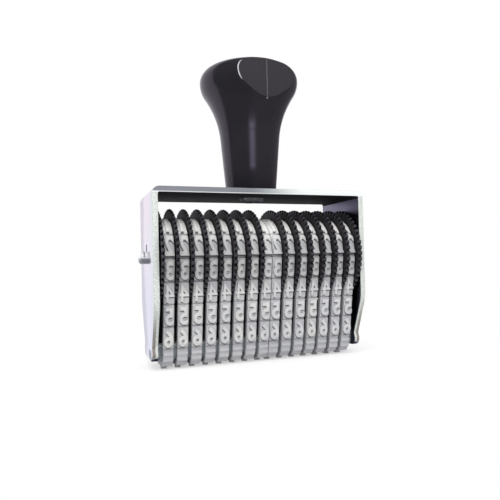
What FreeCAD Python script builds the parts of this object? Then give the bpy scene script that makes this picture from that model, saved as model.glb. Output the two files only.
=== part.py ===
import FreeCAD, Part
import math
import os
from FreeCAD import Vector

# Hand numbering stamp: number wheels on an axle in a bent steel yoke, each with its own rubber band
# that runs over the wheel's drum and under a bridge, where one figure of the band prints.
# Millimetres. X runs along the axle, the front looks along -Y, +Z is up.
# The origin is under the middle of the axle, on the plane of the printing faces.

# The row of wheels on the axle
wheel_count = 15
left_flange_count = 8
axle_height = 29.6
axle_radius = 1.7
axle_overhang = 2.1
axle_chamfer = 0.4
axle_seat_gap = 0.02
wheel_running_gap = 0.05
wheel_side_gap = 0.05

# Number wheels: a toothed flange to push, and a drum with flats that drives the band
flange_radius = 13.2
flange_thickness = 0.8
tooth_count = 48
tooth_depth = 0.65
drum_radius = 8.65
drum_flats = 12

# Figure bands: a loop of cells, with a raised figure in each cell that isn't blank
band_width = 2.8
band_thickness = 1.3
band_side_gap = 0.1
band_drum_gap = 0.25
band_bridge_gap = 0.1
figure_relief = 0.8
figure_height = 4.6
figure_width = 2.4
cell_count = 16
blank_cells = (1, 8, 12)
figure_shift = 0.6
bend_steps = 3
drum_steps = 5

# Bridge under the bands
bridge_flat = 4.8
bridge_corner_radius = 2.0
bridge_height = 4.5
bridge_top_chamfer = 0.5
tenon_count = 2
tenon_width = 3.0
tenon_height = 0.7
tenon_pitch = 1.1
tenon_fit = 0.05

# Guide plate that stands on the bridge, inside the bands: its fingers reach up between the flanges
guide_thickness = 1.2
guide_drum_gap = 0.8
guide_flange_gap = 0.4

# Yoke: two legs and a top plate, bent from one strip
sheet = 1.5
yoke_depth = 21.8
yoke_bottom = 2.6
room_above_wheels = 3.25
bend_inner_radius = 0.5
taper_start = 17.0
taper_blend_radius = 8.0
neck_height = 6.2
neck_half_depth = 6.4
foot_height = 5.0
foot_half_depth = 6.9
foot_corner_radius = 2.0
arris = 0.35
keyhole_width = 1.3
keyhole_reach = 3.5

# Washers between the legs and the end wheels
washer_radius = 4.2
washer_thickness = 0.35

# Handle: a neck that tapers out, a flare, the shoulder of the head and a domed crown
handle_height = 37.85
handle_base_radius = 7.2
neck_taper_degrees = 5
flare_radius = 26.0
shoulder_radius = 7.0
head_radius = 14.15
crown_height = 6.0
crown_edge_radius = 3.7
handle_flat_distance = 11.3
handle_turn_degrees = 7
index_line_width = 0.5
index_line_depth = 0.2

# Screw that holds the handle from under the top plate
screw_radius = 2.0
screw_length = 12.0
screw_fit = 0.03
screw_head_radius = 3.5
screw_head_height = 1.0
screw_head_chamfer = 0.4
screw_slot_width = 0.8
screw_slot_depth = 0.5

# Sizes that follow from the ones above
drum_length = band_width + 2 * band_side_gap - wheel_side_gap
wheel_length = flange_thickness + drum_length
row_length = wheel_count * wheel_length + (wheel_count - 1) * wheel_side_gap
yoke_inner_half = row_length / 2 + wheel_side_gap + washer_thickness
yoke_outer_half = yoke_inner_half + sheet
yoke_top = axle_height + flange_radius + room_above_wheels + sheet
band_inner_radius = drum_radius + band_drum_gap
band_bottom = figure_relief + band_thickness
bridge_bottom = band_bottom + band_bridge_gap
bridge_half_depth = bridge_flat / 2 + bridge_corner_radius
bridge_top = bridge_bottom + bridge_height
guide_top = axle_height - drum_radius - guide_drum_gap
guide_slot_bottom = axle_height - flange_radius - guide_flange_gap
bend_radius = bridge_corner_radius + band_bridge_gap
overrun = sheet
pick_gap = axle_seat_gap

across = Vector(1, 0, 0)
frontways = Vector(0, 1, 0)
upward = Vector(0, 0, 1)

os.makedirs("parts", exist_ok=True)


def save(shape, node):
    """Write one finished piece."""
    shape.exportStep("parts/" + node + ".step")


def prism(points, direction):
    """Straight body over a closed outline of points."""
    return Part.Face(Part.makePolygon(points + points[:1])).extrude(direction)


def block(x_low, x_high, y_low, y_high, z_low, z_high):
    """Box between its lowest and highest corners."""
    corner = Vector(x_low, y_low, z_low)
    return Part.makeBox(x_high - x_low, y_high - y_low, z_high - z_low, corner)


def rod(radius, x_low, x_high):
    """Round bar along the axle's line."""
    return Part.makeCylinder(radius, x_high - x_low, Vector(x_low, 0, axle_height), across)


def on_axle(x, radius, angle):
    """Point at an angle about the axle; angle 0 points up and a quarter turn points to the front."""
    return Vector(x, -radius * math.sin(angle), axle_height + radius * math.cos(angle))


def straight_edges(shape, direction, z_low, z_high):
    """Straight edges of a shape in one direction, between two heights."""
    found = []
    for edge in shape.Edges:
        ends = [vertex.Point for vertex in edge.Vertexes]
        if len(ends) == 2 and abs((ends[1] - ends[0]).dot(direction)) > edge.Length - pick_gap:
            if edge.BoundBox.ZMin > z_low - pick_gap and edge.BoundBox.ZMax < z_high + pick_gap:
                found.append(edge)
    return found


# Number wheels

def wheel_low_side(index):
    """Left end of a wheel's own length on the axle."""
    return -row_length / 2 + index * (wheel_length + wheel_side_gap)


def has_left_flange(index):
    """True for the wheels whose flange is left of the band."""
    return index < left_flange_count


def drum_span(index):
    """Left and right end of a wheel's drum."""
    low = wheel_low_side(index) + (flange_thickness if has_left_flange(index) else 0)
    return low, low + drum_length


def flange_low_side(index):
    """Left face of a wheel's flange."""
    low, high = drum_span(index)
    return low - flange_thickness if has_left_flange(index) else high


def band_centre(index):
    """Middle of a band: a side gap from its own wheel's flange."""
    low, high = drum_span(index)
    inset = band_side_gap + band_width / 2
    return low + inset if has_left_flange(index) else high - inset


def flange_outline(x):
    """Toothed rim: pointed teeth for a fingertip or a stylus to push."""
    root_radius = flange_radius - tooth_depth
    step = math.pi / tooth_count
    radii = (flange_radius, root_radius)
    return [on_axle(x, radii[corner % 2], corner * step) for corner in range(2 * tooth_count)]


def drum_outline(x):
    """Drum with flats, whose edges grip the band."""
    step = 2 * math.pi / drum_flats
    return [on_axle(x, drum_radius, (corner + 0.5) * step) for corner in range(drum_flats)]


def number_wheel(index):
    """One wheel: toothed flange and drum in one moulding, bored to turn on the axle."""
    drum_low, drum_high = drum_span(index)
    flange = prism(flange_outline(flange_low_side(index)), across * flange_thickness)
    drum = prism(drum_outline(drum_low), across * drum_length)
    bore = rod(axle_radius + wheel_running_gap, drum_low - overrun, drum_high + overrun)
    return flange.fuse(drum).cut(bore).removeSplitter()


# Figure bands

class BandPath:
    """The loop that a band's inner face follows, measured from the middle of the printing cell.

    Half of it runs along the bridge's flat, round its corner, up to the drum and over it.
    """

    def __init__(self):
        self.half_flat = bridge_flat / 2
        self.bend_height = band_bottom + bend_radius
        rise = axle_height - self.bend_height
        span = math.hypot(self.half_flat, rise)
        radius_change = band_inner_radius - bend_radius
        self.lean = math.asin(radius_change / span) - math.atan2(self.half_flat, rise)
        self.run = math.sqrt(span ** 2 - radius_change ** 2)
        self.bend_arc = (bend_radius + band_thickness / 2) * (math.pi / 2 - self.lean)
        self.drum_arc = (band_inner_radius + band_thickness / 2) * (math.pi / 2 + self.lean)
        self.half_length = self.half_flat + self.bend_arc + self.run + self.drum_arc
        self.cell = 2 * self.half_length / cell_count

    def place(self, distance):
        """Point on the band's inner face (y, z) and the outward direction there."""
        side = -1 if distance <= self.half_length else 1
        along = min(distance, 2 * self.half_length - distance)
        if along <= self.half_flat:
            return side * along, band_bottom, 0, -1
        along -= self.half_flat
        if along <= self.bend_arc:
            turn = along / (bend_radius + band_thickness / 2)
            out_y, out_z = side * math.sin(turn), -math.cos(turn)
            y = side * self.half_flat + out_y * bend_radius
            return y, self.bend_height + out_z * bend_radius, out_y, out_z
        along -= self.bend_arc
        out_y, out_z = side * math.cos(self.lean), -math.sin(self.lean)
        if along <= self.run:
            y = side * self.half_flat + out_y * bend_radius + side * along * math.sin(self.lean)
            return y, self.bend_height + out_z * bend_radius + along * math.cos(self.lean), out_y, out_z
        along -= self.run
        turn = math.pi / 2 - self.lean + along / (band_inner_radius + band_thickness / 2)
        out_y, out_z = side * math.sin(turn), -math.cos(turn)
        return out_y * band_inner_radius, axle_height + out_z * band_inner_radius, out_y, out_z

    def point(self, x, distance, lift):
        """Point at a height above the band's inner face."""
        y, z, out_y, out_z = self.place(distance % (2 * self.half_length))
        return Vector(x, y + lift * out_y, z + lift * out_z)

    def stops(self):
        """Distances at which the loop's straight facets meet."""
        drum_start = self.half_flat + self.bend_arc + self.run
        half = [self.half_flat + self.bend_arc * step / bend_steps for step in range(bend_steps + 1)]
        half += [drum_start + self.drum_arc * step / drum_steps for step in range(drum_steps)]
        return half + [self.half_length] + [2 * self.half_length - stop for stop in reversed(half)]


def figure_block(path, cell, x_middle):
    """Raised block that carries one figure, square to the band at the middle of its cell."""
    y, z, out_y, out_z = path.place((cell * path.cell - figure_shift) % (2 * path.half_length))
    low = x_middle - figure_width / 2
    half = figure_height / 2
    sunk = band_thickness / 2
    top = band_thickness + figure_relief
    corners = []
    for along, lift in ((-half, sunk), (half, sunk), (half, top), (-half, top)):
        corners.append(Vector(low, y + lift * out_y - along * out_z, z + lift * out_z + along * out_y))
    return prism(corners, across * figure_width)


def figure_band(index, path):
    """One rubber band: the loop with its raised figures, blank where a cell has none."""
    x_middle = band_centre(index)
    low = x_middle - band_width / 2
    outer = prism([path.point(low, stop, band_thickness) for stop in path.stops()], across * band_width)
    inner = prism([path.point(low, stop, 0) for stop in path.stops()], across * band_width)
    blocks = [figure_block(path, cell, x_middle) for cell in range(cell_count) if cell not in blank_cells]
    return outer.cut(inner).fuse(blocks).removeSplitter()


# Yoke

def yoke_blank():
    """Strip bent to a U: two legs and the top plate, with round bends."""
    bent = block(-yoke_outer_half, yoke_outer_half, -yoke_depth / 2, yoke_depth / 2, yoke_bottom, yoke_top)
    room = block(-yoke_inner_half, yoke_inner_half, -yoke_depth, yoke_depth, 0, yoke_top - sheet)
    bent = bent.makeFillet(bend_inner_radius + sheet, straight_edges(bent, frontways, yoke_top, yoke_top))
    ceiling = yoke_top - sheet
    room = room.makeFillet(bend_inner_radius, straight_edges(room, frontways, ceiling, ceiling))
    return bent.cut(room)


def leg_side_outline(x):
    """A leg from the side: full depth at the top, tapered below the axle, with a rounded foot."""
    half = yoke_depth / 2
    back = [(half, yoke_top), (half, taper_start), (neck_half_depth, neck_height),
            (foot_half_depth, foot_height), (foot_half_depth, yoke_bottom)]
    front = [(-y, z) for y, z in reversed(back)]
    return [Vector(x, y, z) for y, z in back + front]


def leg_side_form():
    """Body across both legs that has the side outline, with its corners rounded."""
    form = prism(leg_side_outline(-yoke_outer_half), across * 2 * yoke_outer_half)
    form = form.makeFillet(taper_blend_radius, straight_edges(form, across, taper_start, taper_start))
    return form.makeFillet(foot_corner_radius, straight_edges(form, across, yoke_bottom, yoke_bottom))


def is_outer_arris(edge):
    """True for the edges of the yoke's outer face, along its front and back."""
    box = edge.BoundBox
    on_leg = min(abs(box.XMin), abs(box.XMax)) > yoke_outer_half - pick_gap
    on_top = box.ZMin > yoke_top - pick_gap
    return (on_leg or on_top) and not box.YMin < 0 < box.YMax


def keyhole(side):
    """Axle hole through one leg, with the narrow slot above it."""
    low, high = sorted((side * (yoke_inner_half - overrun), side * (yoke_outer_half + overrun)))
    hole = rod(axle_radius + axle_seat_gap, low, high)
    half = keyhole_width / 2
    return hole.fuse(block(low, high, -half, half, axle_height, axle_height + keyhole_reach))


def tenon_blocks(fit, reach):
    """Tenons at both ends of the bridge, stacked at its front; the yoke's slots are the same with a fit."""
    blocks = []
    y_low = -bridge_half_depth - fit
    y_high = -bridge_half_depth + tenon_width + fit
    for side in (-1, 1):
        low, high = sorted((side * (yoke_inner_half - reach), side * (yoke_outer_half + reach)))
        for row in range(tenon_count):
            z_low = bridge_bottom + (row + 1) * tenon_pitch
            blocks.append(block(low, high, y_low, y_high, z_low - fit, z_low + tenon_height + fit))
    return blocks


def yoke():
    """The bent yoke with its holes, its outer arrises broken as on a blanked strip."""
    body = yoke_blank().common(leg_side_form())
    body = body.makeChamfer(arris, [edge for edge in body.Edges if is_outer_arris(edge)])
    hole_low = Vector(0, 0, yoke_top - sheet - overrun)
    screw_hole = Part.makeCylinder(screw_radius + screw_fit, sheet + 2 * overrun, hole_low)
    return body.cut([keyhole(-1), keyhole(1), screw_hole] + tenon_blocks(tenon_fit, overrun))


# Bridge and guide plate

def bridge():
    """Bar under which the bands turn: rounded lower edges, and tenons staked in the legs."""
    low, high = bridge_bottom, bridge_top
    bar = block(-yoke_inner_half, yoke_inner_half, -bridge_half_depth, bridge_half_depth, low, high)
    bar = bar.makeFillet(bridge_corner_radius, straight_edges(bar, across, low, low))
    bar = bar.makeChamfer(bridge_top_chamfer, straight_edges(bar, across, high, high))
    return bar.fuse(tenon_blocks(0, 0)).removeSplitter()


def guide_plate():
    """Plate from leg to leg on the bridge, between the front and the back of the bands, slotted for the flanges."""
    half = guide_thickness / 2
    whole = block(-yoke_inner_half, yoke_inner_half, -half, half, bridge_top, guide_top)
    slots = []
    for index in range(wheel_count):
        low = flange_low_side(index)
        high = low + flange_thickness
        slots.append(block(low - guide_flange_gap, high + guide_flange_gap, -guide_thickness, guide_thickness,
                           guide_slot_bottom, guide_top + overrun))
    return whole.cut(slots)


# Axle and washers

def axle():
    """Round axle through both legs, its ends standing out and chamfered."""
    half = yoke_outer_half + axle_overhang
    bar = rod(axle_radius, -half, half)
    return bar.makeChamfer(axle_chamfer, [edge for edge in bar.Edges if edge.BoundBox.XLength < pick_gap])


def washer(side):
    """Thin washer between a leg and the end wheel."""
    low, high = sorted((side * yoke_inner_half, side * (yoke_inner_half - washer_thickness)))
    return rod(washer_radius, low, high).cut(rod(axle_radius + axle_seat_gap, low - overrun, high + overrun))


# Handle

def arc(start, end, centre):
    """Arc about a centre, the shorter way from start to end."""
    middle = (start - centre) + (end - centre)
    middle.normalize()
    return Part.Arc(start, centre + middle * (start - centre).Length, end).toShape()


def neck_edges(foot, widest):
    """Outline from the foot to the widest ring: neck, flare and shoulder, each tangent to the next."""
    taper = math.radians(neck_taper_degrees)
    along_neck = Vector(math.sin(taper), 0, math.cos(taper))
    out_of_neck = Vector(math.cos(taper), 0, -math.sin(taper))
    shoulder_centre = widest - across * shoulder_radius
    offset = foot + out_of_neck * flare_radius - shoulder_centre
    back = offset.dot(along_neck)
    reach = math.sqrt(back ** 2 - offset.dot(offset) + (flare_radius + shoulder_radius) ** 2)
    neck_end = foot - along_neck * (back + reach)
    flare_centre = neck_end + out_of_neck * flare_radius
    flare_share = flare_radius / (flare_radius + shoulder_radius)
    flare_end = flare_centre + (shoulder_centre - flare_centre) * flare_share
    return [Part.makeLine(foot, neck_end), arc(neck_end, flare_end, flare_centre),
            arc(flare_end, widest, shoulder_centre)]


def crown_edges(widest, top):
    """Outline from the widest ring to the top: the crown's edge and its dome, tangent to each other."""
    edge_centre = widest - across * crown_edge_radius
    inset = head_radius - crown_edge_radius
    rise = crown_height - crown_edge_radius
    dome_radius = (inset ** 2 + crown_height ** 2 - crown_edge_radius ** 2) / (2 * rise)
    dome_centre = top - upward * dome_radius
    outward = edge_centre - dome_centre
    outward.normalize()
    dome_start = edge_centre + outward * crown_edge_radius
    return [arc(widest, dome_start, edge_centre), arc(dome_start, top, dome_centre)]


def handle_section():
    """Half section of the handle, from its axis to its outline."""
    bottom = upward * yoke_top
    top = bottom + upward * handle_height
    foot = bottom + across * handle_base_radius
    widest = top - upward * crown_height + across * head_radius
    edges = [Part.makeLine(bottom, foot)] + neck_edges(foot, widest) + crown_edges(widest, top)
    return Part.Face(Part.Wire(edges + [Part.makeLine(top, bottom)]))


def handle():
    """Moulded handle with a flat on the front of its head, an index line, and the screw's hole.

    It is screwed on a little turned, as its flat doesn't look straight to the front.
    """
    body = handle_section().revolve(Vector(0, 0, 0), upward, 360)
    wide = 2 * head_radius
    above = yoke_top + 2 * handle_height
    flat = block(-wide, wide, -wide, -handle_flat_distance, yoke_top, above)
    line = block(-index_line_width / 2, index_line_width / 2, -handle_flat_distance - overrun,
                 -handle_flat_distance + index_line_depth, yoke_top + handle_height / 2, above)
    hole = Part.makeCylinder(screw_radius + screw_fit, screw_length, upward * (yoke_top - sheet))
    body = body.cut([flat, line, hole])
    body.rotate(Vector(0, 0, 0), upward, handle_turn_degrees)
    return body


def handle_screw():
    """Screw from under the top plate: low chamfered head with a slot, and a plain shank."""
    under = yoke_top - sheet
    bottom = under - screw_head_height
    head = Part.makeCylinder(screw_head_radius, screw_head_height, upward * bottom)
    rim = [edge for edge in head.Edges if edge.BoundBox.ZMax < bottom + pick_gap]
    head = head.makeChamfer(screw_head_chamfer, rim)
    shank = Part.makeCylinder(screw_radius, screw_length - screw_fit, upward * under)
    half = screw_slot_width / 2
    slot = block(-screw_head_radius, screw_head_radius, -half, half, bottom, bottom + screw_slot_depth)
    return head.fuse(shank).cut(slot)


band_path = BandPath()
for wheel in range(wheel_count):
    number = "%02d" % (wheel + 1)
    save(number_wheel(wheel), "wheel_" + number)
    save(figure_band(wheel, band_path), "band_" + number)
save(yoke(), "yoke")
save(bridge(), "bridge")
save(guide_plate(), "guide_plate")
save(axle(), "axle")
save(washer(-1), "washer_left")
save(washer(1), "washer_right")
save(handle(), "handle")
save(handle_screw(), "handle_screw")
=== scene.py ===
import math

import bmesh
import bpy
from mathutils import Matrix, Vector


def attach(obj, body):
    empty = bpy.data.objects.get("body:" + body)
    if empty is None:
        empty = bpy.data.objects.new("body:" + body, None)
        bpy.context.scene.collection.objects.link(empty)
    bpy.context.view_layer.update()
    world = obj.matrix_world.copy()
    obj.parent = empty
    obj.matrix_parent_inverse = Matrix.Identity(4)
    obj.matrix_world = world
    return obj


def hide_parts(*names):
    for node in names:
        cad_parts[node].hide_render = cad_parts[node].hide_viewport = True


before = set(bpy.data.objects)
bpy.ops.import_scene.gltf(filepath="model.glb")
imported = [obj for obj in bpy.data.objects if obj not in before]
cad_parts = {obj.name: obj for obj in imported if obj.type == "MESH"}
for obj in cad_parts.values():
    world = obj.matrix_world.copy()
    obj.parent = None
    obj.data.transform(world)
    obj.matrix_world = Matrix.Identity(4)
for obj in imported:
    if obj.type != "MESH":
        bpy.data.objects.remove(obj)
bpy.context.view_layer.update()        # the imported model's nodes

# Numbering stamp: number wheels with rubber figure bands in a chromed yoke, under a black handle.
# Sizes are in millimetres, as in the part's source; a mesh is scaled to metres as it becomes a piece.

mm = 0.001

# The row of wheels
wheel_count = 15
left_flange_count = 8
axle_height = 29.6
wheel_pitch = 3.8
row_low = -28.475
wheel_length = 3.75

# Number wheels
flange_radius = 13.2
tooth_count = 48
tooth_depth = 0.65
bead_root = 0.3         # depth below the teeth over which they fade out
bead_middle = 0.4       # middle of the rim, from the wheel's low side
bead_pinch = 0.38       # share of its width that the rim loses between two beads
bead_fullness = 0.7     # below 1 makes the beads fuller
web_side = 0.75         # where the drum starts along the axle
drum_radius = 8.65
drum_flats = 12
wheel_steps = 288

# Figure bands
band_width = 2.8
band_thickness = 1.3
band_inner_radius = 8.9
band_bottom = 2.1
bend_radius = 2.1
half_flat = 2.4
cell_count = 16
steps_per_cell = 24
figures = {0: "/", 2: "6", 3: "5", 4: "4", 5: "3", 6: "2", 7: "1", 9: "0", 10: "-", 11: ".", 13: "9", 14: "8",
           15: "7"}
ridged_cells = (1, 8, 12)
ridge_depth = 0.16
ridges_per_cell = 4
groove_depth = 0.1      # below the band's plain face, at the line between two cells
groove_half_width = 0.3
groove_pinch = 0.06     # share of its width that a band loses at a groove
printing_drop = 0.2     # how much thinner the pad is at the cell that prints
edge_softness = 0.12
pad_round_side, pad_round_drop = 0.16, 0.2
band_middle_left = 2.3    # middle of a band from its wheel's low side, flange on the left
band_middle_right = 1.45  # the same, flange on the right
figure_shift = 0.6
pad_height = 0.35
figure_width = 2.6
figure_height = 4.9
figure_relief = 0.8
figure_root = 0.5       # how deep a figure's strokes start below the band's face
figure_bevel = 0.12
figure_type_size = 6.0  # size of the type before it is scaled to a cell
figure_cut_spacing = 0.75
stroke_offset = 0.1     # how much the type's strokes are thickened
stroke_offsets = {"4": -0.02, "/": 0.55}
# a lower copy of each figure, shifted below it, is painted dark as a shadow under its strokes
painted_shadow_drop = 0.36         # how far the painted shadow reaches below a stroke
painted_shadow_height = 0.43

# Yoke
sheet = 1.5
yoke_outer_half = 30.375
yoke_depth = 21.8
yoke_bottom = 2.6
yoke_top = 47.55
bend_inner_radius = 0.5
keyhole_width = 1.3
keyhole_reach = 3.5
hole_radius = 1.72
screw_hole_radius = 2.03
sheet_rounding = 0.32
tenon_middle = -2.9         # along Y
tenon_half_width = 1.55
tenon_row_middle = 4.2      # height between the two slots
tenon_row_half_spacing = 0.55
tenon_half_height = 0.4

# Axle
axle_half_length = 32.475
axle_radius = 1.7
axle_groove = 31.2          # where the groove by each end lies along X

# Handle
handle_height = 37.85
handle_base_radius = 7.2
neck_taper = math.radians(5)
flare_radius = 26.0
shoulder_radius = 7.0
head_radius = 14.15
crown_height = 6.0
crown_edge_radius = 3.7
handle_flat_distance = 11.3
handle_turn = math.radians(7)
handle_hole_top = 58.05
flat_bevel = 0.2
line_half_width = 0.15
line_depth = 0.15
foot_chamfer = 0.25

upward = Vector((0, 0, 1))
across = Vector((1, 0, 0))


# Mesh work

def turned(profile, steps, axis, is_ring):
    """Shell turned about an axis from (along, radius) points, in a ring or from pole to pole."""
    mesh = bmesh.new()
    aside = across if axis == upward else upward
    points = [mesh.verts.new(axis * along + aside * radius) for along, radius in profile]
    pairs = list(zip(points, points[1:]))
    if is_ring:
        pairs.append((points[-1], points[0]))
    edges = [mesh.edges.new(pair) for pair in pairs]
    bmesh.ops.spin(mesh, geom=points + edges, cent=(0, 0, 0), axis=axis, angle=2 * math.pi, steps=steps,
                   use_merge=True)
    bmesh.ops.remove_doubles(mesh, verts=mesh.verts[:], dist=0.0005)
    bmesh.ops.recalc_face_normals(mesh, faces=mesh.faces[:])
    return mesh


def plate(corners, rounding, thickness):
    """Flat plate from corner points, some of them rounded, pushed out by a thickness vector."""
    mesh = bmesh.new()
    points = [mesh.verts.new(corner) for corner in corners]
    mesh.faces.new(points)
    for chosen, offset in rounding:
        bmesh.ops.bevel(mesh, geom=[points[index] for index in chosen], offset=offset, offset_type="OFFSET",
                        segments=10, profile=0.5, affect="VERTICES", material=-1)
    pushed = bmesh.ops.extrude_face_region(mesh, geom=mesh.faces[:])["geom"]
    moved = [part for part in pushed if isinstance(part, bmesh.types.BMVert)]
    bmesh.ops.translate(mesh, vec=thickness, verts=moved)
    bmesh.ops.recalc_face_normals(mesh, faces=mesh.faces[:])
    return mesh


def block(low, high):
    """Box between its lowest and highest corners."""
    mesh = bmesh.new()
    bmesh.ops.create_cube(mesh, size=1)
    low, high = Vector(low), Vector(high)
    bmesh.ops.scale(mesh, vec=high - low, verts=mesh.verts[:])
    bmesh.ops.translate(mesh, vec=(low + high) / 2, verts=mesh.verts[:])
    return mesh


def rod_along_x(radius, low, high, height):
    """Round bar along X."""
    mesh = bmesh.new()
    bmesh.ops.create_cone(mesh, cap_ends=True, segments=64, radius1=radius, radius2=radius, depth=high - low)
    bmesh.ops.rotate(mesh, cent=(0, 0, 0), matrix=Matrix.Rotation(math.pi / 2, 3, "Y"), verts=mesh.verts[:])
    bmesh.ops.translate(mesh, vec=((low + high) / 2, 0, height), verts=mesh.verts[:])
    return mesh


def as_object(mesh, name):
    """Object that holds a mesh, used up by this."""
    data = bpy.data.meshes.new(name)
    mesh.to_mesh(data)
    mesh.free()
    holder = bpy.data.objects.new(name, data)
    bpy.context.scene.collection.objects.link(holder)
    return holder


def finished(holder):
    """The mesh of an object with its modifiers applied; the object goes."""
    bpy.context.view_layer.update()
    result = bmesh.new()
    result.from_object(holder, bpy.context.evaluated_depsgraph_get())
    data = holder.data
    bpy.data.objects.remove(holder)
    bpy.data.meshes.remove(data)
    return result


def joined(body, tool, operation):
    """Body after a tool is cut from it, or kept only where both are."""
    holder = as_object(body, "body")
    other = as_object(tool, "tool")
    step = holder.modifiers.new("join", "BOOLEAN")
    step.operation = operation
    step.solver = "EXACT"
    step.object = other
    result = finished(holder)
    data = other.data
    bpy.data.objects.remove(other)
    bpy.data.meshes.remove(data)
    return result


def softened(mesh, width, segments, angle):
    """Mesh with every edge sharper than an angle rounded."""
    edges = [edge for edge in mesh.edges if len(edge.link_faces) == 2 and edge.calc_face_angle() > angle]
    bmesh.ops.bevel(mesh, geom=edges, offset=width, offset_type="OFFSET", segments=segments, profile=0.5,
                    affect="EDGES", material=-1, clamp_overlap=True)
    return mesh


def make_piece(name, mesh, finish, node, body, sharp=math.radians(40)):
    """Writes a mesh, scaled to metres, as the piece that stands for a CAD node and moves with a body."""
    bmesh.ops.scale(mesh, vec=(mm, mm, mm), verts=mesh.verts[:])
    piece = as_object(mesh, name)
    piece.data.shade_smooth()
    piece.data.set_sharp_from_angle(angle=sharp)
    piece.data.materials.append(finish)
    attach(piece, body)
    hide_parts(node)
    return piece


# Shader work

def connect(tree, value, socket):
    """Links a value to a socket, or writes a constant on it."""
    if isinstance(value, Value):
        tree.links.new(value.socket, socket)
    else:
        socket.default_value = value


class Value:
    """A socket's number, which Python's operators work on."""

    def __init__(self, tree, socket):
        self.tree = tree
        self.socket = socket

    def work(self, operation, first, second=0.0):
        node = self.tree.nodes.new("ShaderNodeMath")
        node.operation = operation
        connect(self.tree, first, node.inputs[0])
        connect(self.tree, second, node.inputs[1])
        return Value(self.tree, node.outputs[0])

    def __add__(self, other):
        return self.work("ADD", self, other)

    def __radd__(self, other):
        return self.work("ADD", other, self)

    def __sub__(self, other):
        return self.work("SUBTRACT", self, other)

    def __rsub__(self, other):
        return self.work("SUBTRACT", other, self)

    def __mul__(self, other):
        return self.work("MULTIPLY", self, other)

    def __rmul__(self, other):
        return self.work("MULTIPLY", other, self)

    def __truediv__(self, other):
        return self.work("DIVIDE", self, other)

    def __pow__(self, other):
        return self.work("POWER", self, other)

    def __gt__(self, other):
        return self.work("GREATER_THAN", self, other)

    def __lt__(self, other):
        return self.work("LESS_THAN", self, other)

    def __abs__(self):
        return self.work("ABSOLUTE", self)

    def floor(self):
        return self.work("FLOOR", self)

    def cosine(self):
        return self.work("COSINE", self)

    def most(self, other):
        return self.work("MAXIMUM", self, other)

    def output(self, name):
        """Another output of the same node."""
        return Value(self.tree, self.socket.node.outputs[name])


class Nodes:
    """The nodes of a material or the world, added as they are needed."""

    def __init__(self, tree):
        self.tree = tree

    def node(self, kind, settings, inputs, output=0):
        """Adds a node: its settings first, then its sockets' values or links. Gives one output."""
        node = self.tree.nodes.new("ShaderNode" + kind)
        for name, value in settings.items():
            setattr(node, name, value)
        for name, value in inputs.items():
            connect(self.tree, value, node.inputs[name])
        return Value(self.tree, node.outputs[output])

    def mix(self, mask, first, second):
        """Colour between two colours."""
        node = self.tree.nodes.new("ShaderNodeMix")
        node.data_type = "RGBA"
        connect(self.tree, mask, node.inputs[0])
        connect(self.tree, first, node.inputs[6])
        connect(self.tree, second, node.inputs[7])
        return Value(self.tree, node.outputs[2])

    def smooth(self, value, low, high):
        """0 below low, 1 above high and a soft step between."""
        inputs = {"Value": value, "From Min": low, "From Max": high}
        return self.node("MapRange", {"interpolation_type": "SMOOTHSTEP"}, inputs)


class Finish(Nodes):
    """One material."""

    def __init__(self, name):
        self.material = bpy.data.materials.new(name)
        self.material.use_nodes = True
        super().__init__(self.material.node_tree)
        self.shader = self.tree.nodes["Principled BSDF"]
        self.place = self.node("TexCoord", {}, {}, "Object")
        self.x = self.node("SeparateXYZ", {}, {"Vector": self.place}, "X")
        self.y = self.x.output("Y")
        self.z = self.x.output("Z")

    def noise(self, size, detail=2.0, stretch=(1, 1, 1)):
        """Noise with features of a size in millimetres, stretched along the axes."""
        scale = tuple(1 / (size * mm * part) for part in stretch)
        vector = self.node("Mapping", {}, {"Vector": self.place, "Scale": scale})
        return self.node("TexNoise", {}, {"Vector": vector, "Scale": 1.0, "Detail": detail}, "Fac")

    def specks(self, size, share):
        """Small dots, a share of the cells of a size in millimetres."""
        cells = self.node("TexVoronoi", {}, {"Vector": self.place, "Scale": 1 / (size * mm)}, "Distance")
        pick = self.node("SeparateColor", {}, {"Color": cells.output("Color")}, "Red")
        return (1 - self.smooth(cells, 0.12, 0.3)) * (pick < share)

    def bump(self, height, depth):
        """Normal from a height; depth is in millimetres."""
        return self.node("Bump", {}, {"Height": height, "Strength": 1.0, "Distance": depth * mm}, "Normal")

    def set(self, **inputs):
        """Values or links of the shader's sockets."""
        for name, value in inputs.items():
            connect(self.tree, value, self.shader.inputs[name.replace("_", " ")])


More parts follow.
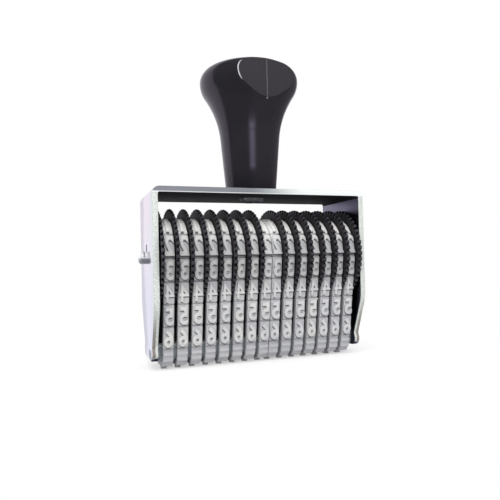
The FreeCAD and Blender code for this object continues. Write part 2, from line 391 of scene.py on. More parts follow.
def rubber_finish():
    """Light grey moulded rubber, its own grey on each band, with dust, and painted shadow, shade and light."""
    rubber = Finish("band_rubber")
    place = (rubber.x / mm - row_low) / wheel_pitch
    band_tone = rubber.node("TexWhiteNoise", {"noise_dimensions": "1D"}, {"W": place.floor() + 0.5}, "Value")
    cloud = rubber.noise(6, 3)
    grain = rubber.noise(0.25, 3)
    height = rubber.node("Attribute", {"attribute_name": "height"}, {}, "Fac")
    painted_shadow = rubber.node("Attribute", {"attribute_name": "painted_shadow"}, {}, "Fac")
    pale = rubber.mix(band_tone, (0.50, 0.50, 0.51, 1), (0.53, 0.53, 0.51, 1))
    cloudy = rubber.mix(rubber.smooth(cloud, 0.35, 0.7), pale, (0.455, 0.46, 0.475, 1))
    # painted light: the bands are paler over the drums, above 32 to 37 mm
    top = rubber.smooth(rubber.z, 32 * mm, 37 * mm)
    painted_top_light = rubber.mix(top, cloudy, (0.76, 0.76, 0.74, 1))
    # painted shade: the lower a point lies under the figures' faces, the darker, except over the drums
    painted_recess_shade = rubber.mix((0.55 - 0.55 * rubber.smooth(height, 0.1, 0.9)) * (1 - top), painted_top_light, (0.28, 0.28, 0.31, 1))
    # painted shadow: the dark copies below the strokes
    with_painted_shadow = rubber.mix(painted_shadow * (0.75 + 0.25 * grain), painted_recess_shade, (0.035, 0.03, 0.04, 1))
    dusty = rubber.mix(0.5 * rubber.specks(0.5, 0.12), with_painted_shadow, (0.35, 0.35, 0.36, 1))
    rubber.set(Base_Color=dusty, Roughness=0.48 + 0.22 * grain, Specular_IOR_Level=0.4,
               Normal=rubber.bump(grain + 0.6 * rubber.noise(0.9, 2), 0.03))
    return rubber.material


def wheel_finish():
    """Black moulded plastic: the rim's beads polished by thumbs and paler with painted sheen, painted shade
    between them, dust on the flanks.
    """
    black = Finish("wheel_plastic")
    rise = black.z - axle_height * mm
    reach = ((black.y * black.y + rise * rise) ** 0.5) / mm
    rim = black.smooth(reach, flange_radius - tooth_depth - 0.4, flange_radius - tooth_depth)
    web = black.smooth(reach, drum_radius + 0.8, drum_radius + 1.6) * (1 - rim)
    bead = abs((black.y.work("ARCTAN2", black.y, rise) * (tooth_count / 2)).cosine())
    top = rim * black.smooth(bead, 0.45, 0.95)
    cloud = black.noise(3, 3)
    grain = black.noise(0.2, 2)
    body = black.mix(cloud, (0.006, 0.005, 0.007, 1), (0.014, 0.011, 0.014, 1))
    flank = black.mix(0.8 * web * cloud, body, (0.055, 0.048, 0.052, 1))
    # painted shade: the rim is darker than the body, so the valleys between the beads are near black
    painted_valley_shade = black.mix(rim, flank, (0.002, 0.002, 0.003, 1))
    # the bead tops are paler: partly wear, partly a painted sheen
    wear_and_sheen = black.mix(top * (0.5 + 0.5 * black.noise(0.8, 3)), painted_valley_shade, (0.055, 0.050, 0.062, 1))
    dusty = black.mix(0.7 * black.specks(0.5, 0.16), wear_and_sheen, (0.22, 0.21, 0.24, 1))
    black.set(Base_Color=dusty, Roughness=0.50 + 0.2 * cloud - 0.25 * top, Specular_IOR_Level=0.35,
              Normal=black.bump(grain, 0.03))
    return black.material


def chrome_finish():
    """Chromed sheet with fine polishing lines and grey sheared edges; duller inside, with painted reflection,
    highlight and shade.
    """
    chrome = Finish("chromed_sheet")
    facing = chrome.node("SeparateXYZ", {}, {"Vector": chrome.place.output("Normal")}, "Y")
    sheared = chrome.smooth(abs(facing), 0.75, 0.97)
    inside = (abs(chrome.x) < (yoke_outer_half - 0.7) * mm) * (chrome.z < (yoke_top - 0.7) * mm)
    inner = inside * (1 - sheared)
    under = inner * (chrome.z > (yoke_top - sheet - 0.6) * mm)
    speckle = chrome.noise(0.35, 4)
    lines = chrome.noise(0.12, 2, (1, 1, 40))
    smear = chrome.noise(4, 3)
    # painted reflection: the chrome is tinted bluish low, pinkish high and pale greenish near the front; cloudy
    # patches differ at random
    reflection_tint_height = chrome.smooth(chrome.z, 8 * mm, 42 * mm)
    painted_reflection_tint = chrome.mix(reflection_tint_height, (0.78, 0.82, 0.95, 1), (0.96, 0.86, 0.91, 1))
    tint = chrome.mix(0.4 * chrome.smooth(chrome.noise(14, 2), 0.35, 0.65), painted_reflection_tint, (0.84, 0.88, 0.90, 1))
    front = chrome.mix(1 - chrome.smooth(chrome.y, -10.5 * mm, -6.0 * mm), tint, (0.80, 0.88, 0.83, 1))
    # painted shade: the inner faces of the legs are dark, darkest low down, and the underside of the top is near
    # black and not metal
    shaded = chrome.mix(chrome.smooth(chrome.z, 15 * mm, 44 * mm), (0.08, 0.08, 0.11, 1), (0.17, 0.16, 0.22, 1))
    with_painted_inside_shade = chrome.mix(under, chrome.mix(inner, front, shaded), (0.012, 0.011, 0.014, 1))
    # painted highlight and reflection on the top plate's front edge: a pale line along its foot, above it dark
    # on the left and pale on the right
    across_plate = chrome.smooth(chrome.x, -5 * mm, 14 * mm)
    painted_edge_reflection = chrome.mix(across_plate, (0.20, 0.21, 0.23, 1), (0.78, 0.83, 0.80, 1))
    edge_height = (chrome.z - (yoke_top - sheet) * mm) / (sheet * mm)
    plate_edge = chrome.mix(chrome.smooth(edge_height, 0.02, 0.25), (0.78, 0.80, 0.80, 1), painted_edge_reflection)
    leg_edge = chrome.mix(chrome.smooth(speckle, 0.4, 0.65), (0.52, 0.56, 0.52, 1), (0.72, 0.75, 0.72, 1))
    # the legs' cut edges are brownish dark towards the feet, below 9 to 17 mm
    brown_foot_edge = (1 - chrome.smooth(chrome.z, 9 * mm, 17 * mm)) * (abs(chrome.x) > (yoke_outer_half - 0.8) * mm)
    leg_edge = chrome.mix(brown_foot_edge, leg_edge, (0.24, 0.21, 0.18, 1))
    cut_face = chrome.mix(edge_height > 0, leg_edge, plate_edge)
    # painted shade: the keyhole slot and a band round each tenon slot are near black
    above = chrome.z - axle_height * mm
    keyhole = (abs(chrome.y) < (keyhole_width / 2 + 0.02) * mm) * (above > 0)
    keyhole = keyhole * (above < (keyhole_reach + 0.02) * mm)
    tenon_row = abs(abs(chrome.z / mm - tenon_row_middle) - tenon_row_half_spacing) / tenon_half_height
    tenon_edge = tenon_row.most(abs(chrome.y / mm - tenon_middle) / tenon_half_width)
    painted_slot_shade = keyhole.most((tenon_edge > 0.75) * (tenon_edge < 1.3) * (1 - inside))
    colour = chrome.mix(painted_slot_shade, chrome.mix(sheared, with_painted_inside_shade, cut_face), (0.01, 0.01, 0.012, 1))
    rough = 0.10 + 0.10 * smear + 0.06 * lines + 0.25 * sheared + 0.12 * inner + 0.5 * under
    metal = (1 - 0.75 * sheared) * (1 - under) * (1 - painted_slot_shade)
    chrome.set(Base_Color=colour, Metallic=metal, Roughness=rough, Specular_IOR_Level=0.1,
               Normal=chrome.bump(lines * 0.3 + speckle * sheared, 0.02))
    return chrome.material


def steel_finish():
    """Bright turned steel for the axle and its washers, with painted shade on the lower half of the axle's ends.
    """
    steel = Finish("steel_rod")
    rings = steel.noise(0.15, 3, (1, 30, 30))
    cloud = steel.noise(2, 3)
    ends = abs(steel.x) > yoke_outer_half * mm
    # painted shade: the lower half of each end of the axle is dark grey
    low = ends * (1 - steel.smooth(steel.z, (axle_height - 0.5) * mm, (axle_height + 0.1) * mm))
    colour = steel.mix(cloud, (0.82, 0.82, 0.84, 1), (0.62, 0.62, 0.66, 1))
    painted_lower_shade = steel.mix(0.75 * low, colour, (0.10, 0.11, 0.13, 1))
    slit = (abs(abs(steel.x) - axle_groove * mm) < 0.13 * mm) * (steel.z > (axle_height + 0.1) * mm)
    grooved = steel.mix(0.85 * slit, painted_lower_shade, (0.02, 0.02, 0.03, 1))
    steel.set(Base_Color=grooved, Metallic=0.9 - 0.7 * ends, Roughness=0.22 + 0.16 * rings,
              Normal=steel.bump(rings, 0.01))
    return steel.material


def plated_finish():
    """Dull zinc plating on the bridge, with a painted highlight along its top."""
    plated = Finish("plated_bar")
    spangle = plated.node("TexVoronoi", {}, {"Vector": plated.place, "Scale": 1 / (0.8 * mm)}, "Color")
    shade = plated.node("SeparateColor", {}, {"Color": spangle}, "Red")
    grain = plated.noise(0.3, 3)
    colour = plated.mix(shade * 0.5 + grain * 0.5, (0.25, 0.29, 0.31, 1), (0.40, 0.44, 0.47, 1))
    # painted highlight along the bridge's top
    painted_highlight = plated.mix(plated.smooth(plated.z, 6.0 * mm, 6.4 * mm), colour, (0.85, 0.88, 0.88, 1))
    plated.set(Base_Color=painted_highlight, Metallic=0.3, Roughness=0.3 + 0.22 * grain, Normal=plated.bump(grain, 0.02))
    return plated.material


def screw_finish():
    """Blackened screw head with chips, and a painted highlight round its rim."""
    screw = Finish("blackened_screw")
    reach = ((screw.x * screw.x + screw.y * screw.y) ** 0.5) / mm
    # painted highlight: the head is paler round its rim, broken up by streaks
    rim = screw.smooth(reach, 2.9, 3.3)
    chips = screw.smooth(screw.noise(0.6, 3), 0.6, 0.66)
    rim_streaks = 0.25 + 0.7 * screw.smooth(screw.noise(0.9, 3), 0.5, 0.62)
    colour = screw.mix((rim * rim_streaks).most(0.8 * chips), (0.012, 0.012, 0.015, 1), (0.38, 0.38, 0.42, 1))
    screw.set(Base_Color=colour, Roughness=0.75 + 0.2 * chips, Specular_IOR_Level=0.2,
              Normal=screw.bump(chips, 0.02))
    return screw.material


def guide_finish():
    """Blackened sheet for the guide plate."""
    black = Finish("blackened_sheet")
    cloud = black.noise(2, 3)
    colour = black.mix(cloud, (0.010, 0.010, 0.011, 1), (0.020, 0.019, 0.021, 1))
    black.set(Base_Color=colour, Roughness=0.6 + 0.2 * cloud, Normal=black.bump(black.noise(0.3, 2), 0.02))
    return black.material


def handle_finish():
    """Glossy black plastic; the flat on the head is matt, its line is painted paler as a highlight, and a
    painted highlight runs beside the flat's left edge.
    """
    gloss = Finish("handle_gloss")
    forward = gloss.x * math.sin(handle_turn) - gloss.y * math.cos(handle_turn)
    sideways = gloss.x * math.cos(handle_turn) + gloss.y * math.sin(handle_turn)
    flat = forward > (handle_flat_distance - 0.06) * mm
    line = (abs(sideways) < 0.2 * mm) * (forward > (handle_flat_distance - 0.3) * mm) * (1 - flat)
    scuff = gloss.smooth(gloss.noise(0.4, 4, (1, 1, 12)), 0.62, 0.75)
    cloud = gloss.noise(9, 3)
    body = gloss.mix(cloud, (0.011, 0.0105, 0.013, 1), (0.018, 0.0165, 0.020, 1))
    matt = gloss.mix(flat * (0.6 + 0.4 * gloss.noise(0.5, 3)), body, (0.030, 0.0285, 0.031, 1))
    # painted highlight: the index line is paler
    lined = gloss.mix(line, matt, (0.16, 0.15, 0.15, 1))
    # painted highlight on the head beside the flat's left edge
    beside = gloss.smooth(0 - sideways, 7.2 * mm, 8.2 * mm) * (gloss.z > (yoke_top + 27.0) * mm)
    painted_highlight = beside * (forward > (handle_flat_distance - 0.22) * mm) * (1 - flat) * (1 - line)
    colour = gloss.mix(painted_highlight, lined, (0.42, 0.42, 0.44, 1))
    rough = 0.13 + 0.05 * cloud + 0.10 * scuff + 0.30 * flat
    gloss.set(Base_Color=colour, Roughness=rough, Specular_IOR_Level=0.42, Specular_Tint=(0.93, 0.88, 1, 1),
              Normal=gloss.bump(gloss.noise(0.3, 2) * (0.1 + flat) + 0.3 * gloss.noise(7, 1), 0.01))
    return gloss.material


# Number wheels

def wheel_low_side(index):
    """Left end of a wheel on the axle."""
    return row_low + wheel_pitch * index


def number_wheel():
    """Wheel with its flange on the left: a rim of round teeth, a thinner web, and a drum with flats."""
    flange = [(0.15, 1.75), (0.0, 1.95), (0.0, 4.2), (0.12, 4.6), (0.12, 11.5), (0.02, 11.9), (-0.03, 12.3),
              (-0.06, 12.62), (0.0, 12.95), (0.2, 13.14), (0.4, 13.2), (0.6, 13.14), (0.8, 12.95), (0.86, 12.62),
              (0.83, 12.3), (0.78, 11.9), (0.68, 11.5), (0.68, 9.2), (0.8, 8.9)]
    drum = [(0.8, drum_radius), (3.65, drum_radius), (3.75, drum_radius - 0.1), (3.75, 1.95), (3.6, 1.75)]
    wheel = turned(flange + drum, wheel_steps, across, True)
    root_radius = flange_radius - tooth_depth
    half_flat_angle = math.pi / drum_flats
    for point in wheel.verts:
        radius = math.hypot(point.co.y, point.co.z)
        angle = math.atan2(-point.co.y, point.co.z)
        if radius > root_radius - bead_root:
            bead = abs(math.cos(angle * tooth_count / 2)) ** bead_fullness
            depth = tooth_depth * (radius - root_radius + bead_root) / (tooth_depth + bead_root)
            share = 1 - depth * (1 - bead) / radius
            point.co.x = bead_middle + (point.co.x - bead_middle) * (1 - bead_pinch * (1 - bead))
        elif point.co.x > web_side and drum_radius - 0.2 < radius < drum_radius + 0.1:
            from_flat = (angle + half_flat_angle) % (2 * half_flat_angle) - half_flat_angle
            share = math.cos(half_flat_angle) / math.cos(from_flat)
        else:
            continue
        point.co.y *= share
        point.co.z *= share
    return wheel


def place_wheels(finish):
    """The wheels along the axle, the last ones with their flange on the right."""
    left = number_wheel()
    right = left.copy()
    bmesh.ops.scale(right, vec=(-1, 1, 1), verts=right.verts[:])
    bmesh.ops.translate(right, vec=(wheel_length, 0, 0), verts=right.verts[:])
    bmesh.ops.recalc_face_normals(right, faces=right.faces[:])
    for index in range(wheel_count):
        wheel = (left if index < left_flange_count else right).copy()
        bmesh.ops.translate(wheel, vec=(wheel_low_side(index), 0, axle_height), verts=wheel.verts[:])
        number = "%02d" % (index + 1)
        make_piece("toothed_wheel_" + number, wheel, finish, "wheel_" + number, "number_wheel_" + number,
                   math.radians(50))


# Figure bands

class BandPath:
    """The line that a band's inner face follows, measured from the middle of the printing cell.

    It runs along the bridge's flat, round its corner, up the front to the drum and over it.
    """

    def __init__(self):
        self.bend_height = band_bottom + bend_radius
        rise = axle_height - self.bend_height
        span = math.hypot(half_flat, rise)
        radius_change = band_inner_radius - bend_radius
        self.lean = math.asin(radius_change / span) - math.atan2(half_flat, rise)
        self.run = math.sqrt(span ** 2 - radius_change ** 2)
        self.bend_arc = (bend_radius + band_thickness / 2) * (math.pi / 2 - self.lean)
        self.drum_arc = (band_inner_radius + band_thickness / 2) * (math.pi / 2 + self.lean)
        self.length = 2 * (half_flat + self.bend_arc + self.run + self.drum_arc)
        self.cell = self.length / cell_count

    def place(self, distance):
        """Point on the band's inner face (y, z) and the outward direction there."""
        distance %= self.length
        side = -1 if distance <= self.length / 2 else 1
        along = min(distance, self.length - distance)
        if along <= half_flat:
            return side * along, band_bottom, 0, -1
        along -= half_flat
        if along <= self.bend_arc:
            turn = along / (bend_radius + band_thickness / 2)
            out_y, out_z = side * math.sin(turn), -math.cos(turn)
            return side * half_flat + out_y * bend_radius, self.bend_height + out_z * bend_radius, out_y, out_z
        along -= self.bend_arc
        out_y, out_z = side * math.cos(self.lean), -math.sin(self.lean)
        if along <= self.run:
            y = side * half_flat + out_y * bend_radius + side * along * math.sin(self.lean)
            return y, self.bend_height + out_z * bend_radius + along * math.cos(self.lean), out_y, out_z
        turn = math.pi / 2 - self.lean + (along - self.run) / (band_inner_radius + band_thickness / 2)
        out_y, out_z = side * math.sin(turn), -math.cos(turn)
        return out_y * band_inner_radius, axle_height + out_z * band_inner_radius, out_y, out_z


def flat_strip(path):
    """The band rolled out flat (X across, Y along, Z up): a groove between cells, ridges on blank ones."""
    strip = bmesh.new()
    half = band_width / 2
    top = band_thickness + pad_height
    side = [(half - edge_softness, 0), (half, edge_softness), (half, top - pad_round_drop),
            (half - pad_round_side, top)]
    outline = side + [(0, top)] + [(-x, height) for x, height in reversed(side)]
    points = [strip.verts.new((x, 0, height)) for x, height in outline]
    front = [strip.edges.new(pair) for pair in zip(points, points[1:] + points[:1])]
    step = path.cell / steps_per_cell
    for _ in range(steps_per_cell * cell_count):
        pushed = bmesh.ops.extrude_edge_only(strip, edges=front)["geom"]
        front = [part for part in pushed if isinstance(part, bmesh.types.BMEdge)]
        moved = [part for part in pushed if isinstance(part, bmesh.types.BMVert)]
        bmesh.ops.translate(strip, vec=(0, step, 0), verts=moved)
    for point in strip.verts:
        cells = point.co.y / path.cell
        from_line = abs((cells % 1) - 0.5) * path.cell
        line = max(0, 1 - from_line / groove_half_width)
        if point.co.z > band_thickness / 2:
            point.co.z -= (pad_height + groove_depth) * line
            if round(cells) % cell_count == 0:
                point.co.z -= printing_drop * (1 - line)
            if round(cells) % cell_count in ridged_cells:
                wave = math.cos(2 * math.pi * ridges_per_cell * cells) - 1
                point.co.z += ridge_depth * wave * (1 - line)
        point.co.x *= 1 - groove_pinch * line
    return strip


def figure_form(character):
    """One raised figure, upright, with sloping flanks, at the size that the type gives."""
    text = bpy.data.curves.new("figure", "FONT")
    text.body = character
    text.align_x = "CENTER"
    text.resolution_u = 3
    text.extrude = (figure_relief + figure_root) / 2 - figure_bevel
    text.bevel_depth = figure_bevel
    text.bevel_resolution = 1
    text.offset = stroke_offsets.get(character, stroke_offset)
    text.size = figure_type_size
    holder = bpy.data.objects.new("figure", text)
    bpy.context.scene.collection.objects.link(holder)
    bpy.context.view_layer.update()
    data = bpy.data.meshes.new_from_object(holder)
    form = bmesh.new()
    form.from_mesh(data)
    bpy.data.meshes.remove(data)
    bpy.data.objects.remove(holder)
    bpy.data.curves.remove(text)
    bmesh.ops.remove_doubles(form, verts=form.verts[:], dist=0.002)
    return form


def extent(form, axis):
    """Lowest and highest place of a mesh along an axis."""
    places = [point.co[axis] for point in form.verts]
    return min(places), max(places)


def figure_forms():
    """Every figure of a band, mirrored and scaled so that a nought fills its cell, and cut for bending."""
    nought = figure_form("0")
    low_x, high_x = extent(nought, 0)
    low_y, high_y = extent(nought, 1)
    nought.free()
    scale = (-figure_width / (high_x - low_x), figure_height / (high_y - low_y), 1)
    forms = {}
    for cell, character in figures.items():
        form = figure_form(character)
        bmesh.ops.translate(form, vec=(0, -(low_y + high_y) / 2, 0), verts=form.verts[:])
        bmesh.ops.scale(form, vec=scale, verts=form.verts[:])
        for row in range(-2, 3):
            bmesh.ops.bisect_plane(form, geom=form.verts[:] + form.edges[:] + form.faces[:], dist=0.001,
                                   plane_co=(0, row * figure_cut_spacing, 0), plane_no=(0, 1, 0))
        bmesh.ops.recalc_face_normals(form, faces=form.faces[:])
        forms[cell] = form
    return forms


def add_form(mesh, form):
    """Adds a form to a mesh; the form is used up."""
    data = bpy.data.meshes.new("form")
    form.to_mesh(data)
    form.free()
    mesh.from_mesh(data)
    bpy.data.meshes.remove(data)


def figure_band(path):
    """One band round the drum and the bridge, its middle at X 0.

    Each point keeps its height, and whether it is part of a painted shadow: a dark copy below a figure's
    strokes.
    """
    band = flat_strip(path)
    forms = figure_forms()
    painted_shadow_forms = []
    for cell, form in forms.items():
        lift = band_thickness + figure_relief - extent(form, 2)[1]
        bmesh.ops.translate(form, vec=(0, cell * path.cell, lift), verts=form.verts[:])
        # a lower copy of the figure, shifted below its strokes, becomes its painted shadow
        painted_shadow_form = form.copy()
        drop = figure_relief - painted_shadow_height
        bmesh.ops.translate(painted_shadow_form, vec=(0, -painted_shadow_drop, -drop), verts=painted_shadow_form.verts[:])
        painted_shadow_forms.append(painted_shadow_form)
        add_form(band, form)
    count_before_shadows = len(band.verts)
    for painted_shadow_form in painted_shadow_forms:
        add_form(band, painted_shadow_form)
    height = band.verts.layers.float.new("height")
    painted_shadow = band.verts.layers.float.new("painted_shadow")
    for index, point in enumerate(band.verts):
        x, along, lift = point.co
        y, z, out_y, out_z = path.place(along - figure_shift)
        point[height] = (lift - band_thickness) / figure_relief
        point[painted_shadow] = index >= count_before_shadows
        point.co = (x, y + lift * out_y, z + lift * out_z)
    bmesh.ops.remove_doubles(band, verts=band.verts[:], dist=0.001)
    bmesh.ops.recalc_face_normals(band, faces=band.faces[:])
    return band


def place_bands(finish):
    """The bands on their drums, each a side gap from its own wheel's flange."""
    pattern = figure_band(BandPath())
    for index in range(wheel_count):
        middle = wheel_low_side(index) + (band_middle_left if index < left_flange_count else band_middle_right)
        band = pattern.copy()
        bmesh.ops.translate(band, vec=(middle, 0, 0), verts=band.verts[:])
        number = "%02d" % (index + 1)
        make_piece("figure_band_" + number, band, finish, "band_" + number, "stamp_frame",
                   math.radians(35))
    pattern.free()


# Yoke

def yoke_form():
    """Sheet bent to a U, its legs tapered to round feet, with rounded edges and the holes."""
    inner = yoke_outer_half - sheet
    outer = yoke_outer_half
    corners = [(-outer, 0, yoke_bottom), (-outer, 0, yoke_top), (outer, 0, yoke_top), (outer, 0, yoke_bottom),
               (inner, 0, yoke_bottom), (inner, 0, yoke_top - sheet), (-inner, 0, yoke_top - sheet),
               (-inner, 0, yoke_bottom)]
    bends = [((1, 2), bend_inner_radius + sheet), ((5, 6), bend_inner_radius)]
    bent = plate(corners, bends, (0, yoke_depth, 0))
    bmesh.ops.translate(bent, vec=(0, -yoke_depth / 2, 0), verts=bent.verts[:])
    half = yoke_depth / 2
    side = [(half, yoke_top + 1), (half, 17.0), (6.4, 6.2), (6.9, 5.0), (6.9, yoke_bottom)]
    corners = [(-outer - 1, y, z) for y, z in side] + [(-outer - 1, -y, z) for y, z in reversed(side)]
    silhouette = plate(corners, [((1, 8), 1.6), ((2, 7), 0.5), ((4, 5), 2.0)], (2 * outer + 2, 0, 0))
    form = softened(joined(bent, silhouette, "INTERSECT"), sheet_rounding, 3, math.radians(30))
    for sign in (-1, 1):
        low, high = sorted((sign * (inner - 2), sign * (outer + 2)))
        form = joined(form, rod_along_x(hole_radius, low, high, axle_height), "DIFFERENCE")
        slot = block((low, -keyhole_width / 2, axle_height),
                     (high, keyhole_width / 2, axle_height + keyhole_reach))
        form = joined(form, slot, "DIFFERENCE")
        for row in (-tenon_row_half_spacing, tenon_row_half_spacing):
            height = tenon_row_middle + row
            slot = block((low, tenon_middle - tenon_half_width, height - tenon_half_height),
                         (high, tenon_middle + tenon_half_width, height + tenon_half_height))
            form = joined(form, slot, "DIFFERENCE")
    screw_hole = bmesh.new()
    bmesh.ops.create_cone(screw_hole, cap_ends=True, segments=64, radius1=screw_hole_radius,
                          radius2=screw_hole_radius, depth=10)
    bmesh.ops.translate(screw_hole, vec=(0, 0, yoke_top), verts=screw_hole.verts[:])
    return joined(form, screw_hole, "DIFFERENCE")


# Axle

def axle_form():
    """Turned rod with rounded ends."""
    half = axle_half_length
    end = [(half, 0), (half, 1.2), (half - 0.1, 1.4), (half - 0.25, 1.55), (half - 0.45, 1.66),
           (half - 0.7, axle_radius)]
    profile = [(-along, radius) for along, radius in end] + list(reversed(end))
    rod = turned(profile, 96, across, False)
    bmesh.ops.translate(rod, vec=(0, 0, axle_height), verts=rod.verts[:])
    return rod


# Handle

def arc_points(centre, start, end, steps):
    """Points on an arc about a centre, after its start and up to its end."""
    first, last = start - centre, end - centre
    turn = first.angle_signed(last)
    points = []
    for step in range(1, steps + 1):
        spoke = first.copy()
        spoke.rotate(Matrix.Rotation(-turn * step / steps, 2))
        points.append(centre + spoke)
    return points


def handle_profile():
    """Half outline of the handle as (height, radius): its hole, neck, flare, shoulder and domed crown."""
    foot = Vector((handle_base_radius, 0))
    widest = Vector((head_radius, handle_height - crown_height))
    top = Vector((0, handle_height))
    along_neck = Vector((math.sin(neck_taper), math.cos(neck_taper)))
    out_of_neck = Vector((math.cos(neck_taper), -math.sin(neck_taper)))
    shoulder_centre = widest - Vector((shoulder_radius, 0))
    offset = foot + out_of_neck * flare_radius - shoulder_centre
    back = offset.dot(along_neck)
    reach = math.sqrt(back ** 2 - offset.dot(offset) + (flare_radius + shoulder_radius) ** 2)
    neck_end = foot - along_neck * (back + reach)
    flare_centre = neck_end + out_of_neck * flare_radius
    share = flare_radius / (flare_radius + shoulder_radius)
    flare_end = flare_centre + (shoulder_centre - flare_centre) * share
    edge_centre = widest - Vector((crown_edge_radius, 0))
    inset = head_radius - crown_edge_radius
    rise = crown_height - crown_edge_radius
    dome_radius = (inset ** 2 + crown_height ** 2 - crown_edge_radius ** 2) / (2 * rise)
    dome_centre = top - Vector((0, dome_radius))
    dome_start = edge_centre + (edge_centre - dome_centre).normalized() * crown_edge_radius
    chamfer = [foot + Vector((-foot_chamfer, 0)), foot + Vector((0, foot_chamfer))]
    outline = chamfer + [neck_end * 0.5 + foot * 0.5, neck_end]
    outline += arc_points(flare_centre, neck_end, flare_end, 24)
    outline += arc_points(shoulder_centre, flare_end, widest, 10)
    outline += arc_points(edge_centre, widest, dome_start, 14)
    outline += arc_points(dome_centre, dome_start, top, 16)
    hole = [(handle_hole_top, 0), (handle_hole_top, screw_hole_radius), (yoke_top, screw_hole_radius)]
    return hole + [(yoke_top + point.y, max(0, point.x)) for point in outline]


def handle_form():
    """Turned handle with a flat on the front of its head and an index line cut down the flat."""
    form = turned(handle_profile(), 192, upward, False)
    whole = form.verts[:] + form.edges[:] + form.faces[:]
    cut = bmesh.ops.bisect_plane(form, geom=whole, dist=0.0001, plane_co=(0, -handle_flat_distance, 0),
                                 plane_no=(0, -1, 0), clear_outer=True)["geom_cut"]
    rim = [part for part in cut if isinstance(part, bmesh.types.BMEdge)]
    bmesh.ops.contextual_create(form, geom=rim)
    bmesh.ops.bevel(form, geom=rim, offset=flat_bevel, offset_type="OFFSET", segments=2, profile=0.5,
                    affect="EDGES", material=-1)
    flat = [face for face in form.faces if face.normal.y < -0.999 and face.calc_area() > 5]
    for side in (-line_half_width, line_half_width):
        edges = [edge for face in flat for edge in face.edges]
        points = [point for face in flat for point in face.verts]
        bmesh.ops.bisect_plane(form, geom=list(set(flat + edges + points)), dist=0.0001, plane_co=(side, 0, 0),
                               plane_no=(1, 0, 0))
        flat = [face for face in form.faces if face.normal.y < -0.999 and face.calc_area() > 1]
    line = [face for face in flat if abs(face.calc_center_median().x) < 0.1]
    bmesh.ops.inset_individual(form, faces=line, thickness=0.03, depth=-line_depth)
    bmesh.ops.recalc_face_normals(form, faces=form.faces[:])
    bmesh.ops.rotate(form, cent=(0, 0, 0), matrix=Matrix.Rotation(handle_turn, 3, "Z"), verts=form.verts[:])
    return form


# The pieces

place_wheels(wheel_finish())
place_bands(rubber_finish())
make_piece("bent_yoke", yoke_form(), chrome_finish(), "yoke", "stamp_frame", math.radians(25))
steel = steel_finish()
plated = plated_finish()
make_piece("axle_rod", axle_form(), steel, "axle", "stamp_frame")
make_piece("turned_handle", handle_form(), handle_finish(), "handle", "stamp_frame")
shown_as_built = {"washer_left": steel, "washer_right": steel, "bridge": plated, "handle_screw": screw_finish(),
                  "guide_plate": guide_finish()}
for name, finish in shown_as_built.items():
    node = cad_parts[name]
    node.data.materials.clear()
    node.data.materials.append(finish)


# Stage

room_pale = (0.90, 0.88, 0.95, 1)
room_dark = (0.06, 0.06, 0.08, 1)
room_dim = (0.24, 0.22, 0.25, 1)
behind_x, behind_y = -0.25, 0.968
window_light = (3.3, 3.1, 3.9, 1)


def window_share(nodes, x, y):
    """How much of the tall front window is seen in a level direction."""
    return nodes.smooth(0 - x * 0.18 - y * 0.98, 0.93, 1.0) ** 3


def room_tone(nodes, behind, x):
    """What polished surfaces show of the room: pale behind, dark in front."""
    return nodes.mix(behind, nodes.mix(nodes.smooth(x, -0.35, 0.25), room_dark, room_dim), room_pale)


def floor_finish():
    """White paper that keeps the object's shadow and is plain white far from it.

    In reflections it is pale behind the object and dark in front, as the room is.
    """
    paper = Finish("floor_paper")
    away = ((paper.x * paper.x + paper.y * paper.y) ** 0.5).most(0.001)
    rays = paper.node("LightPath", {}, {}, "Is Camera Ray")
    far = (0.5 + 0.5 * paper.smooth(away, 35 * mm, 100 * mm)) * rays
    behind = paper.smooth((paper.x * behind_x + paper.y * behind_y) / away, 0.46, 0.57)
    grain = paper.noise(1.5, 3)
    paper.set(Base_Color=paper.mix(grain, (0.86, 0.86, 0.86, 1), (0.90, 0.90, 0.90, 1)), Roughness=0.9)
    mirrored = rays.output("Is Glossy Ray")
    window = window_share(paper, paper.x / away, paper.y / away) * paper.smooth(away, 0.1, 0.9)
    shown = paper.mix(window, room_tone(paper, behind, paper.x / away), window_light)
    tone = paper.mix(mirrored, (1, 1, 1, 1), shown)
    glow = paper.node("Emission", {}, {"Color": tone, "Strength": 1.0})
    blend = paper.tree.nodes.new("ShaderNodeMixShader")
    connect(paper.tree, far.most(mirrored), blend.inputs[0])
    connect(paper.tree, Value(paper.tree, paper.shader.outputs[0]), blend.inputs[1])
    connect(paper.tree, glow, blend.inputs[2])
    paper.tree.links.new(blend.outputs[0], paper.tree.nodes["Material Output"].inputs["Surface"])
    return paper.material


def lay_floor():
    """The floor under the stamp."""
    mesh = bmesh.new()
    bmesh.ops.create_grid(mesh, x_segments=1, y_segments=1, size=4)
    bmesh.ops.translate(mesh, vec=(0, 0, -0.00002), verts=mesh.verts[:])
    floor = as_object(mesh, "floor")
    floor.data.materials.append(floor_finish())


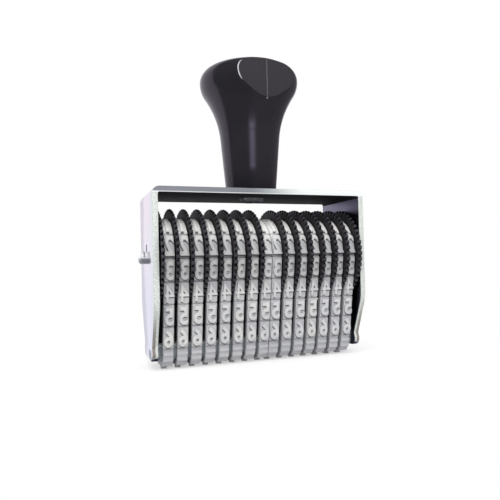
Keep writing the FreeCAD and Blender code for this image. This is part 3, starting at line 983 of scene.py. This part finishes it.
def light_world():
    """Plain light from all round; white to the camera.

    Reflections show a pale room behind, a dark one in front, a tall soft window there and a small lamp.
    """
    world = bpy.data.worlds.new("studio")
    bpy.context.scene.world = world
    world.use_nodes = True
    sky = Nodes(world.node_tree)
    rays = sky.node("LightPath", {}, {}, "Is Camera Ray")
    glossy = rays.output("Is Glossy Ray").most(rays.output("Is Transmission Ray"))
    x = sky.node("SeparateXYZ", {}, {"Vector": sky.node("TexCoord", {}, {}, "Generated")}, "X")
    y, z = x.output("Y"), x.output("Z")
    behind = sky.smooth(x * behind_x + y * behind_y, 0.46, 0.57)
    strip = window_share(sky, x, y) * sky.smooth(z, -0.002, 0.05) * (1 - sky.smooth(z, 0.06, 0.5))
    lamp = sky.smooth(z * 0.69 - y * 0.72, 0.982, 0.992)
    room = sky.mix(strip, room_tone(sky, behind, x), window_light)
    room = sky.mix(lamp, room, (4, 4, 4, 1))
    above = sky.mix(sky.smooth(z, -0.2, 0.9), (0.64, 0.64, 0.65, 1), (1.0, 1.0, 1.0, 1))
    plain = sky.mix(glossy, above, room)
    colour = sky.mix(rays, plain, (1, 1, 1, 1))
    connect(world.node_tree, colour, world.node_tree.nodes["Background"].inputs["Color"])


def add_lamp(name, place, target, width, height, power):
    """Soft rectangular lamp."""
    lamp = bpy.data.lights.new(name, "AREA")
    lamp.shape = "RECTANGLE"
    lamp.size = width
    lamp.size_y = height
    lamp.energy = power
    holder = bpy.data.objects.new(name, lamp)
    holder.location = place
    holder.rotation_euler = (Vector(target) - Vector(place)).to_track_quat("-Z", "Y").to_euler()
    holder.visible_glossy = False
    bpy.context.scene.collection.objects.link(holder)


def set_camera():
    """Camera a little left of the front, just under the axle's height, looking up slightly."""
    yaw, pitch, roll = math.radians(19.69), math.radians(1.33), math.radians(-1.40)
    forward = Vector((math.sin(yaw) * math.cos(pitch), math.cos(yaw) * math.cos(pitch), math.sin(pitch)))
    level = Vector((math.cos(yaw), -math.sin(yaw), 0))
    raised = level.cross(forward)
    right = level * math.cos(roll) + raised * math.sin(roll)
    up = raised * math.cos(roll) - level * math.sin(roll)
    lens = bpy.data.cameras.new("camera")
    lens.lens = 36.61
    lens.sensor_width = 36
    lens.clip_start = 0.005
    camera = bpy.data.objects.new("camera", lens)
    turn = Matrix((right, up, -forward)).transposed().to_4x4()
    camera.matrix_world = Matrix.Translation(Vector((-50.27, -138.27, 27.83)) * mm) @ turn
    bpy.context.scene.collection.objects.link(camera)
    bpy.context.scene.camera = camera


lay_floor()
light_world()
add_lamp("left_softbox", (-0.45, -0.10, 0.25), (0, 0, 0.04), 0.30, 0.40, 1.0)
add_lamp("right_softbox", (0.40, -0.25, 0.30), (0, 0, 0.04), 0.25, 0.35, 0.5)
add_lamp("top_softbox", (-0.10, -0.30, 0.42), (0, 0, 0.04), 0.40, 0.40, 1.5)
set_camera()
bpy.context.scene.view_settings.view_transform = "Standard"
